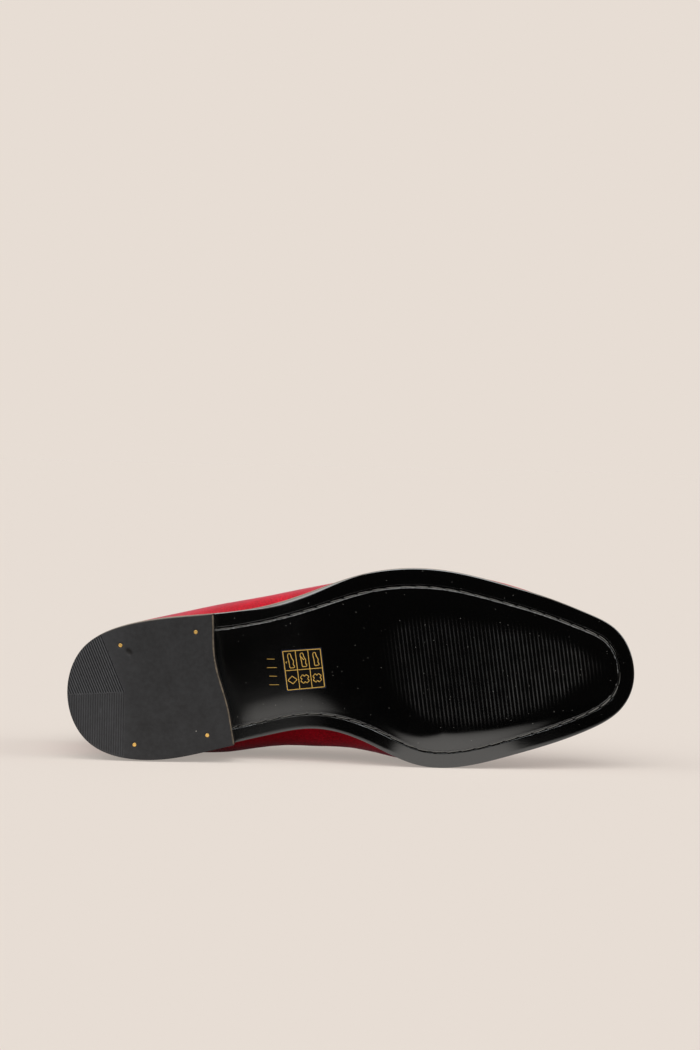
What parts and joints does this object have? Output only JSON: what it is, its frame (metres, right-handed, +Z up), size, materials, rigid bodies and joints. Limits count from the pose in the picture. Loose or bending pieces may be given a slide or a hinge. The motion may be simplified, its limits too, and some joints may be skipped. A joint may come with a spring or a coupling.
{
  "type": "loafer",
  "caption": "Velvet slip-on loafer for a right foot, with a stitched leather sole and a rubber-tipped stacked heel, lying on its inner side.",
  "frame": {"origin": "centre of the bounding box, on the floor that the shoe lies on", "axes": "+X towards the toe, the sole facing -Y to within 2 degrees, +Z up from the floor; the shoe lies on its medial side"},
  "size_m": [0.3024, 0.0894, 0.105],
  "materials": {
    "red_velvet": "cotton velvet with a short upright pile",
    "black_polished_leather": "glazed sole leather",
    "black_heel_edge": "black-inked stacked leather",
    "charcoal_rubber": "matte moulded rubber",
    "tan_lining_leather": "smooth lining leather",
    "brass": "ground flush with the tread",
    "black_grosgrain": "ribbed binding tape",
    "grey_thread": "waxed linen sole thread",
    "label_print": "thin black label with plain gold-coloured figures"
  },
  "bodies": {
    "root": {"upper": "red_velvet", "outsole": "black_polished_leather", "insole": "tan_lining_leather", "heel_stack": "black_heel_edge", "heel_top_piece": "charcoal_rubber", "heel_pin_1": "brass", "heel_pin_2": "brass", "heel_pin_3": "brass", "heel_pin_4": "brass"}
  },
  "joints": []
}
